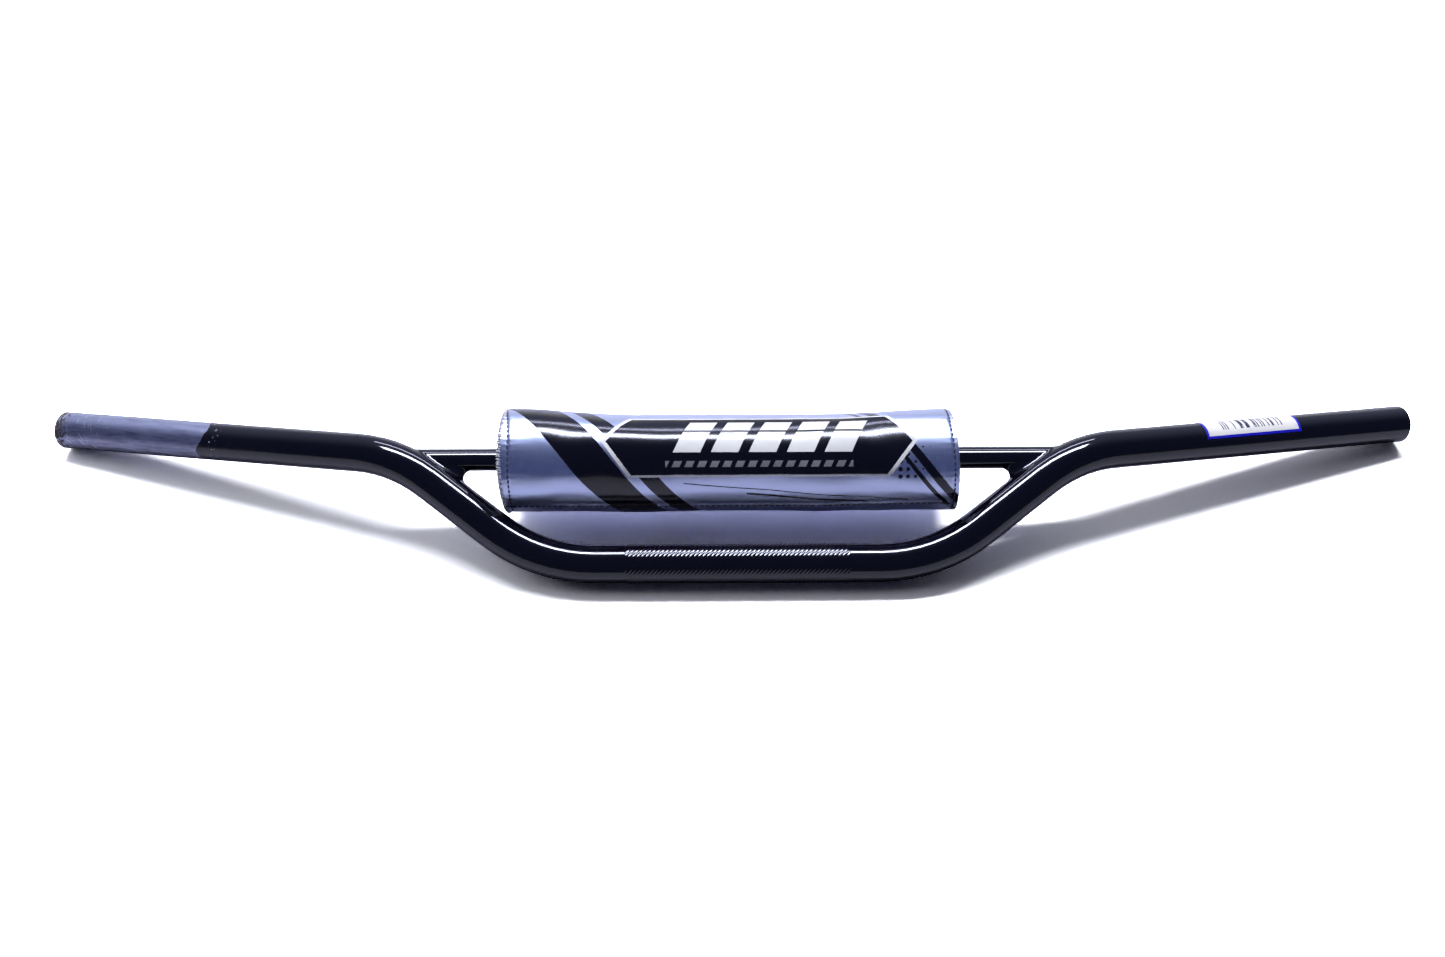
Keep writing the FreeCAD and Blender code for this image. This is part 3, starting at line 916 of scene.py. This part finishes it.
def plate(x, s, grow):
    """A six-sided plate: straight top and bottom, and two points at half height."""
    middle = (PLATE_TOP + PLATE_BOTTOM) / 2
    half = (PLATE_BOTTOM - PLATE_TOP) / 2 + grow
    height = abs(s - middle)
    reach = PLATE_HALF + grow * POINT_GROWTH + half * PLATE_POINT
    pointed = abs(x - PLATE_X) + height * PLATE_POINT
    return between(height, BELOW_ANY, half) * between(pointed, BELOW_ANY, reach)


def blocks(x, s):
    """White blocks that lean like a slash, cut by a thin line, inside the plate."""
    along = x + s * BLOCK_LEAN - PLATE_X + BLOCK_WIDTH / 2
    row = between(abs(along - BLOCK_WIDTH / 2), BELOW_ANY, BLOCK_ROW)
    cut = 1 - between(s, *BLOCK_CUT)
    block = between(repeated(along, BLOCK_PITCH), 0.3, BLOCK_WIDTH)
    return block * between(s, BLOCK_TOP, BLOCK_BOTTOM) * row * cut


def dashes(x, s):
    """A row of short grey dashes under the blocks."""
    dash = between(repeated(x + s * BLOCK_LEAN, DASH_PITCH), *DASH)
    return dash * between(s, *DASH_HEIGHT) * between(abs(x - PLATE_X), BELOW_ANY, DASH_ROW)


def pinstripes(x, s):
    """Two thin black lines that cross the lower half and drift downwards to the right."""
    drifting = s - x * STRIPE_DRIFT
    return sum(between(drifting, *limits) * between(x, *reach) for limits, reach in STRIPES)


def dots(x, s):
    """A field of black dots at the right end whose size falls to nothing."""
    across = repeated(x, DOT_PITCH) - DOT_PITCH / 2
    down = repeated(s, DOT_PITCH) - DOT_PITCH / 2
    size = x.step(*DOTS_SHRINK) * DOT_LARGEST
    inside = (size * size - across * across - down * down).step(0.0, 0.5)
    return inside * between(s, *DOTS_HIGH) * between(x, *DOTS_LONG)


# %% [markdown]
# ## The vinyl itself
#
# Silver vinyl is a plastic film filled with metal flakes: mostly metallic, but duller than
# metal, with a fine leather-like grain. Ink lies on it as a plain, non-metallic film that
# is a little glossier. So the masks steer the colour, the metallic amount and the
# roughness together.

# %% Silver vinyl, its woven back and its ends
SILVER = (0.47, 0.53, 0.70, 1.0)
BLACK_INK = (0.0020, 0.0017, 0.0058, 1.0)
WHITE_INK = (0.84, 0.86, 0.95, 1.0)
GREY_INK = (0.30, 0.31, 0.37, 1.0)
CLEAN_WEAVE, SOILED_WEAVE = (0.78, 0.78, 0.84, 1.0), (0.5, 0.5, 0.58, 1.0)
GRAIN_DEPTH, INK_DEPTH = 0.00005, 0.00002
THREAD_RATE = 9000.0


def leather_grain(recipe):
    """The fine grain pressed into the film."""
    return recipe.noise(1500.0, 3.0, 0.6)


def ripples(value, rate):
    """A sine wave along a coordinate, such as a row of threads. The rate is in radians a metre."""
    return (value * rate).math("SINE")


def printed_vinyl():
    """Silver film with black, white and grey inks, placed by x and by the turn round the pad."""
    recipe = Recipe("printed_vinyl")
    x, y, z = recipe.parts()
    x = x / MM
    turn = (z - float(AXIS_Z * MM)).math("ARCTAN2", y - float(AXIS_Y * MM))
    s = (turn - math.radians(PRINT_CENTRE)).math("WRAP", math.pi, -math.pi) * float(PAD_RADIUS)
    inside = plate(x, s, 0.0)
    border = plate(x, s, PLATE_BORDER)
    black = leaning_bars(x, s).largest(pinstripes(x, s)).largest(dots(x, s)) * (1 - border)
    black = black.largest(inside)
    white = (border - inside).largest(blocks(x, s) * inside)
    grey = dashes(x, s) * inside
    tone = recipe.noise(1.0, 3.0, vector=recipe.stretch(6.0, 20.0, 20.0))
    silver = recipe.mix(tone.step(0.35, 0.7), SILVER, (0.44, 0.49, 0.64, 1.0))
    colour = recipe.mix(black, silver, BLACK_INK)
    colour = recipe.mix(white, colour, WHITE_INK)
    colour = recipe.mix(grey, colour, GREY_INK)
    ink = black.largest(white).largest(grey)
    grain = leather_grain(recipe)
    weave = recipe.noise(700.0, 1.0, vector=recipe.stretch(1.0, 0.35, 0.35))
    film = recipe.bump(ink, INK_DEPTH)
    normal = recipe.bump(grain * 0.5 + weave * 0.5, GRAIN_DEPTH, 1.0, film)
    return recipe.surface(
        Base_Color=colour,
        Metallic=0.95 * (1 - ink),
        Roughness=0.27 + tone * 0.06 - ink * 0.14,
        Normal=normal,
    )


def woven_white():
    """The white woven back of the vinyl: two families of threads, seen on cut edges."""
    recipe = Recipe("woven_white")
    x, y, z = recipe.parts()
    threads = ripples(x, THREAD_RATE) + ripples(z + y, THREAD_RATE)
    soil = recipe.noise(160.0, 4.0, 0.6)
    colour = recipe.mix(soil.step(0.35, 0.75), CLEAN_WEAVE, SOILED_WEAVE)
    normal = recipe.bump(threads * 0.25 + 0.5, 0.00015)
    return recipe.surface(Base_Color=colour, Roughness=0.9, Normal=normal)


# %% Cover
vinyl = printed_vinyl()
white_back = woven_white()


def thickened(sheet, thickness):
    """Gives a vinyl sheet its thickness, inwards, with the white back on its cut edges."""
    sheet.data.materials.append(white_back)
    layer = sheet.modifiers.new("thickness", "SOLIDIFY")
    layer.thickness = thickness * MM
    layer.offset = -1
    layer.material_offset_rim = 1
    return layer


cover_x, cover_angle = cover_grid(rows=170, edge_rows=5, columns=250)
cover = new_piece(
    "sewn_cover",
    round_axis(cover_x, cover_radius(cover_x, cover_angle), cover_angle),
    grid_faces(*cover_x.shape),
    vinyl,
)
thickened(cover, COVER_THICKNESS).material_offset = 1
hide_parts("pad_cover")

# %% [markdown]
# ## Threads
#
# A row of stitches is one small capsule repeated. The capsule is made once, round its own
# axis, and then carried to every place by adding three directions times its three
# coordinates: along the thread, outwards, and sideways. All stitches are one array.

# %% Stitches
CAPSULE_RINGS, CAPSULE_SIDES = 7, 6
CAPSULE_DIP = 0.45
END_STITCH, END_STITCH_LIFT = (3.2, 0.85), 0.2
HEM_STITCH, HEM_STITCH_LIFT = (3.0, 0.65), 0.12
TWIST_RATE = 14000.0


def capsule(length, thickness):
    """A rounded bar along the first axis whose ends dip below the surface."""
    t = np.linspace(-1, 1, CAPSULE_RINGS)[:, None]
    turn = np.linspace(0, 2 * np.pi, CAPSULE_SIDES, endpoint=False)[None, :]
    width = np.sqrt(np.clip(1 - t ** 4, 0, 1)) * thickness / 2
    dip = -CAPSULE_DIP * thickness * t ** 2
    points = stacked(t * length / 2, dip + width * np.cos(turn), width * np.sin(turn))
    return points, grid_faces(CAPSULE_RINGS, CAPSULE_SIDES, close_columns=True)


def stitch_row(name, centres, along, outwards, length, thickness, material):
    """A capsule at every centre. along and outwards are unit vectors there."""
    shape, faces = capsule(length, thickness)
    sideways = np.cross(along, outwards)
    flat = shape.reshape(-1, 3)
    points = (
        centres[:, None, :]
        + flat[None, :, 0:1] * along[:, None, :]
        + flat[None, :, 1:2] * outwards[:, None, :]
        + flat[None, :, 2:3] * sideways[:, None, :]
    )
    shifts = np.arange(len(centres))[:, None, None] * len(flat)
    return new_piece(name, points, (faces[None] + shifts).reshape(-1, 4), material)


def thread(name, colour, other):
    """Twisted polyester: a fine slanting ripple and two close tones."""
    recipe = Recipe(name)
    x, y, z = recipe.parts()
    twist = ripples(x + y + z, TWIST_RATE)
    shade = recipe.mix(recipe.noise(900.0), colour, other)
    return recipe.surface(Base_Color=shade, Roughness=0.55, Normal=recipe.bump(twist * 0.5 + 0.5, 0.00008))


dark_thread = thread("dark_thread", (0.012, 0.012, 0.03, 1.0), (0.03, 0.03, 0.06, 1.0))
pale_thread = thread("pale_thread", (0.85, 0.86, 0.92, 1.0), (0.55, 0.56, 0.66, 1.0))


def outward(angle):
    """Unit vectors square to the pad's axis, away from it."""
    turn = np.radians(angle)
    return np.stack((np.zeros_like(turn), np.cos(turn), np.sin(turn)), axis=-1)


def around(angle):
    """Unit vectors along the turn round the pad, a quarter turn ahead of outward."""
    turn = np.radians(angle)
    return np.stack((np.zeros_like(turn), -np.sin(turn), np.cos(turn)), axis=-1)


def seam_of_stitches(name, seam_line):
    """Stitches round an end of the pad, each along the turn of the surface."""
    angle = np.linspace(COVER_START, HEM_END + 360, STITCHES_ROUND - 1) % 360
    x = seam_line(angle)
    centres = round_axis(x, cover_radius(x, angle) + END_STITCH_LIFT, angle)
    return stitch_row(name, centres, around(angle), outward(angle), *END_STITCH, dark_thread)


seam_of_stitches("left_end_stitches", left_seam)
seam_of_stitches("right_end_stitches", right_seam)
hem_x = np.arange(LEFT_SEAM - 1, RIGHT_SEAM + 1, STITCH_PITCH)
hem_angle = hem_edge(hem_x) + HEM_STITCH_LINE
hem_centres = round_axis(hem_x, cover_radius(hem_x, hem_angle) + HEM_STITCH_LIFT, hem_angle)
length_way = np.broadcast_to(np.array([1.0, 0.0, 0.0]), hem_centres.shape)
stitch_row("hem_stitches", hem_centres, length_way, outward(hem_angle), *HEM_STITCH, dark_thread)

# %% [markdown]
# ## Overlocked edge
#
# At the left end the cut edges are bound by an overlock seam: one thread that loops round
# both layers, 120 times. Its path is a helix on a ring. The tube round that path needs two
# directions across it, which come from the path's own direction and the ring's.

# %% Overlock thread
LOOPS, POINTS_PER_LOOP = 120, 10
LOOP_REACH, LOOP_RADIUS, LOOP_SIDES = 1.9, 0.38, 5
LOOP_MIDDLE, LOOP_SWING, LOOP_LIFT = 0.42, 0.62, 0.25
LOOP_WANDER, WANDER_RATE = 0.5, 0.37


def tube_round(path, radius, sides):
    """Rings of points round a path, each ring square to the path's direction."""
    ahead = np.gradient(path, axis=0)
    ahead /= np.linalg.norm(ahead, axis=1, keepdims=True)
    helper = path - np.array([path[:, 0].mean(), AXIS_Y, AXIS_Z])
    side = np.cross(ahead, helper)
    side /= np.linalg.norm(side, axis=1, keepdims=True)
    up = np.cross(side, ahead)
    turn = np.linspace(0, 2 * np.pi, sides, endpoint=False)
    ring = side[:, None, :] * np.sin(turn)[None, :, None] + up[:, None, :] * np.cos(turn)[None, :, None]
    return path[:, None, :] + radius * ring


def edge_loops(edge_line):
    """A thread that goes out and back over the cut edge, and in and out of both layers."""
    steps = LOOPS * POINTS_PER_LOOP
    angle = np.linspace(COVER_START + 1, HEM_END + 359, steps)
    phase = np.linspace(0, 2 * np.pi * LOOPS, steps)
    x = edge_line(angle) + LOOP_REACH * (LOOP_MIDDLE - LOOP_SWING * np.cos(phase))
    radius = cover_radius(x, angle) - COVER_THICKNESS + (COVER_THICKNESS + LOOP_LIFT) * np.sin(phase)
    return round_axis(x, radius, angle + LOOP_WANDER * np.sin(phase * WANDER_RATE))


overlock_path = edge_loops(left_edge)
overlock = tube_round(overlock_path, LOOP_RADIUS, LOOP_SIDES)
overlock_faces = grid_faces(len(overlock_path), LOOP_SIDES, close_columns=True)
new_piece("overlock", overlock, overlock_faces, pale_thread)

# %% [markdown]
# ## End panels
#
# Each end is closed by a disc of the same vinyl with a hole for the crossbar. Its rim is
# turned outwards and sewn to the cover. The disc is under slight pressure from the foam,
# so it bulges by about a millimetre, and it is cut open along the same line as the foam.

# %% Discs with a turned rim
PANEL_GAP, PANEL_THICKNESS, PANEL_INSET = 3.0, 0.6, 0.1
PANEL_COLUMNS, FACE_ROWS, RIM_ROWS = 150, 26, 9
BORE_CLEARANCE, BULGE, FACE_DEPTH = 0.35, 1.3, 1.1
FACE_WAVE, FACE_PUCKER = 0.25, 0.12


def end_panel(name, node, seam_line, edge_line, way):
    """Radius grows from the bore to the seam with a domed face, then the rim runs outwards.

    way is -1 at the left end and +1 at the right, the direction out of the pad.
    """
    angle = np.linspace(SLIT_ANGLE + PANEL_GAP, SLIT_ANGLE + 360 - PANEL_GAP, PANEL_COLUMNS)[None, :]
    face = np.linspace(0, 1, FACE_ROWS)[:, None]
    rim = np.linspace(0, 1, RIM_ROWS + 1)[1:, None]
    seam, edge = seam_line(angle), edge_line(angle)
    rim_radius = cover_radius(seam, angle) - COVER_THICKNESS - PANEL_INSET
    bore = CROSSBAR_RADIUS + BORE_CLEARANCE
    face_radius = bore + (rim_radius - bore) * face
    bulge = BULGE * np.sin(np.pi * face) + FACE_WAVE * np.cos(np.radians(angle) * 3) * face * (1 - face)
    pucker = FACE_PUCKER * np.cos(np.radians(angle) * STITCHES_ROUND) * face ** 6
    face_x = seam + way * (bulge - FACE_DEPTH + pucker)
    rim_x = seam + (edge - seam) * rim
    rim_radii = cover_radius(rim_x, angle) - COVER_THICKNESS - PANEL_INSET
    x = np.concatenate((face_x, rim_x))
    radius = np.concatenate((face_radius, rim_radii))
    faces = grid_faces(*x.shape)
    facing_out = faces if way < 0 else faces[:, ::-1]
    panel = new_piece(name, round_axis(x, radius, angle), facing_out, vinyl_plain)
    thickened(panel, PANEL_THICKNESS)
    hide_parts(node)


def plain_vinyl():
    """The same silver film without print, for the ends."""
    recipe = Recipe("plain_vinyl")
    tone = recipe.noise(60.0, 3.0)
    colour = recipe.mix(tone, SILVER, (0.42, 0.43, 0.52, 1.0))
    normal = recipe.bump(leather_grain(recipe), GRAIN_DEPTH)
    return recipe.surface(Base_Color=colour, Metallic=0.85, Roughness=0.34 + tone * 0.08, Normal=normal)


vinyl_plain = plain_vinyl()
end_panel("left_panel", "pad_end_left", left_seam, left_edge, -1)
end_panel("right_panel", "pad_end_right", right_seam, right_edge, 1)

# %% [markdown]
# ## Foam, flap and fastener
#
# Under the pad, between the hem and the closure, the inner pieces show: the foam with its
# slit, a woven flap, and the two halves of a hook and loop fastener. All four are slabs
# wrapped round the crossbar. A slab is a closed loop in section, outer arc one way and
# inner arc back, carried along the pad, and its two ends close on the loop's middle line.

# %% Wrapped slabs
SLAB_ROWS, SLAB_CROWDING = 70, 1.4
EDGE_SHARE, EDGE_ROUNDING = 0.004, 0.12
RIB_RATE, RIBS_ROUND = 2.1, 47


def wrapped_slab(name, node, outside, inside, angles, count, material, relief=0.0):
    """A slab as long as its node between two radii and two angles, with rounded long edges.

    outside(x, angle) is the outer radius and inside the inner one. Both are pulled to the
    slab's middle along its edges, by a low power of the sine of the share across.
    """
    start, end = angles
    left, right = (corner[0] for corner in box_mm(node))
    across = np.concatenate((np.linspace(0, 1, count), np.linspace(1, 0, count)))[None, :]
    outer = np.concatenate((np.ones(count), np.zeros(count)))[None, :]
    x = left + (right - left) * crowded(SLAB_ROWS, SLAB_CROWDING)[:, None]
    x = np.concatenate((x[:1], x, x[-1:]))
    open_share = np.concatenate(([0.0], np.ones(SLAB_ROWS), [0.0]))[:, None]
    angle = start + (end - start) * across
    rim = np.sin(np.pi * np.clip(across, EDGE_SHARE, 1 - EDGE_SHARE)) ** EDGE_ROUNDING
    high, low = outside(x, angle), inside
    middle = (high + low) / 2
    half = (high - low) / 2 * rim * open_share
    ripple = relief * np.sin(x * RIB_RATE) * np.sin(np.radians(angle) * RIBS_ROUND)
    radius = middle + np.where(outer > 0, half + ripple * open_share, -half)
    faces = grid_faces(*radius.shape, close_columns=True)
    piece = new_piece(name, round_axis(x, radius, angle), faces, material)
    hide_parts(node)
    return piece


WEB_RIB_RATE = 6000.0
DARK_FOAM, PALE_FOAM = (0.02, 0.02, 0.022, 1.0), (0.05, 0.05, 0.055, 1.0)
PILE_TIPS, PILE_GROUND = (0.05, 0.05, 0.055, 1.0), (0.008, 0.008, 0.01, 1.0)
DARK_WEB, PALE_WEB = (0.012, 0.012, 0.016, 1.0), (0.04, 0.04, 0.05, 1.0)


def closed_foam():
    """Dark closed-cell foam: round cells of about half a millimetre, some of them open, painted darker in
    their pits as painted shade.
    """
    recipe = Recipe("closed_foam")
    cells = recipe.cells(1800.0)
    # Painted shade: the colour is darker where the bump sinks into a cell.
    colour = recipe.mix(cells.step(0.1, 0.6), DARK_FOAM, PALE_FOAM)
    return recipe.surface(Base_Color=colour, Roughness=0.95, Normal=recipe.bump(cells, 0.0003))


def woven_strap(name, dark, light):
    """Nylon web: ribs along the pad, crossed by finer threads, painted lighter where they stand high and
    darker between them, a painted highlight and shade.
    """
    recipe = Recipe(name)
    x, y, _ = recipe.parts()
    height = ripples(y, WEB_RIB_RATE) * 0.3 + ripples(x, THREAD_RATE) * 0.2 + 0.5
    # Painted highlight and shade: the colour follows the height of the ribs and threads.
    colour = recipe.mix(height, dark, light)
    return recipe.surface(Base_Color=colour, Roughness=0.8, Normal=recipe.bump(height, 0.0002))


def fastener_pile(name, scale, depth):
    """Hooks or loops: a dense field of small points, painted pale at the points and darker on the ground
    between them, a painted highlight and shade.
    """
    recipe = Recipe(name)
    points = recipe.cells(scale)
    # Painted highlight and shade: PILE_TIPS at the points, the darker PILE_GROUND between them.
    colour = recipe.mix(points.step(0.0, 0.5), PILE_TIPS, PILE_GROUND)
    return recipe.surface(Base_Color=colour, Roughness=0.85, Normal=recipe.bump(points, depth))


COVER_INSIDE = PAD_RADIUS - COVER_THICKNESS
STRIP = 0.8
SHEET_GAP = 0.05
FOAM_BORE_GAP, FOAM_GAP, FLAP_GAP, FOAM_SLIT = 0.25, 0.35, 0.25, 1.3
FLAP_START, FLAP_ROOT, ROOT_SLOPE, ROOT_RISE = 203.0, (202, 215), 2, 2 * STRIP - 0.2
RECESS_SLOPE = 3
CLOSURE = (COVER_START, CLOSURE_END)


def constant(radius):
    """An outer radius that is the same everywhere."""
    return lambda x, angle: np.full(np.broadcast_shapes(np.shape(x), np.shape(angle)), radius)


def foam_outside(x, angle):
    """Just inside the cover, and further in where the flap and strips lie."""
    turn = angle % 360
    under_flap = plateau(turn, FLAP_START - RECESS_SLOPE, CLOSURE_END + RECESS_SLOPE, RECESS_SLOPE)
    under_hem = smooth(turn, HEM_EDGE - 1, HEM_EDGE + 1) * (turn < COVER_START)
    free = cover_radius(x, angle) - COVER_THICKNESS - FOAM_GAP - HEM_THICKNESS * under_hem
    return np.minimum(free, COVER_INSIDE - 3 * STRIP * under_flap - FLAP_GAP)


def flap_outside(x, angle):
    """The flap steps outwards to the hem at its sewn root."""
    root = plateau(angle, *FLAP_ROOT, ROOT_SLOPE)
    return COVER_INSIDE - 2 * STRIP - SHEET_GAP + ROOT_RISE * root + 0 * x


foam_piece = wrapped_slab(
    "foam_roll", "pad_foam", foam_outside, CROSSBAR_RADIUS + FOAM_BORE_GAP,
    (SLIT_ANGLE + FOAM_SLIT, SLIT_ANGLE + 360 - FOAM_SLIT), 160, closed_foam())
wrapped_slab(
    "woven_flap", "closure_flap", flap_outside, COVER_INSIDE - 3 * STRIP, (FLAP_START, CLOSURE_END),
    40, woven_strap("flap_web", DARK_WEB, PALE_WEB), relief=0.03)
wrapped_slab(
    "hooks", "hook_strip", constant(COVER_INSIDE - STRIP - SHEET_GAP), COVER_INSIDE - 2 * STRIP, CLOSURE,
    40, fastener_pile("hook_pile", 1400.0, 0.0004), relief=0.05)
wrapped_slab(
    "loops", "loop_strip", constant(COVER_INSIDE - SHEET_GAP), COVER_INSIDE - STRIP, CLOSURE,
    40, fastener_pile("loop_pile", 900.0, 0.0003), relief=0.05)

# %% [markdown]
# ## Knurl on the clamp section
#
# The middle of the bar is knurled so that it can't turn in its clamps: fine ridges that
# lean across the tube. They are an eighth of a millimetre high, and the lamp line breaks
# up on them, so they are a closed sleeve of their own. Its columns run along the ridges,
# which wind round the bar like the threads of a screw, so a few points across each ridge
# are enough. Every ridge goes round exactly twice from end to end, so the hidden inner
# side closes straight.

# %% Knurled sleeve
KNURL_HALF = 63.5
KNURL_RIDGES, KNURL_TURNS = 26, 2
KNURL_LOW, KNURL_HIGH, KNURL_SUNK = 0.02, 0.15, 0.4
KNURL_ROWS, POINTS_PER_RIDGE = 160, 12
KNURL_RUNOUT, KNURL_END_SUNK, RIDGE_POWER = 1.5, 0.05, 0.8


def knurled_sleeve():
    """Radius = bar + low + (high - low) * (0.5 + 0.5 cos(ridges * turn)) ** 0.8.

    The turn falls as x grows, and the ridges fade into the tube at both ends.
    """
    outer_x = np.linspace(-KNURL_HALF, KNURL_HALF, KNURL_ROWS)[:, None]
    on_ridge = np.linspace(0, 2 * np.pi, KNURL_RIDGES * POINTS_PER_RIDGE, endpoint=False)[None, :]
    wave = (0.5 + 0.5 * np.cos(KNURL_RIDGES * on_ridge)) ** RIDGE_POWER
    height = KNURL_END_SUNK + KNURL_LOW + (KNURL_HIGH - KNURL_LOW) * wave
    fade = plateau(outer_x, -KNURL_HALF, KNURL_HALF, KNURL_RUNOUT)
    outer_radius = BAR_RADIUS - KNURL_END_SUNK + height * fade
    inner_radius = np.full((2, KNURL_RIDGES * POINTS_PER_RIDGE), BAR_RADIUS - KNURL_SUNK)
    x = np.concatenate((outer_x, [[KNURL_HALF], [-KNURL_HALF]]))
    radius = np.concatenate((outer_radius, inner_radius))
    turn = on_ridge - x * np.pi * KNURL_TURNS / KNURL_HALF
    points = stacked(x, radius * np.cos(turn), radius * np.sin(turn))
    faces = grid_faces(*radius.shape, close_rows=True, close_columns=True)
    return new_piece("clamp_knurl", points, faces, paint)


knurled_sleeve()
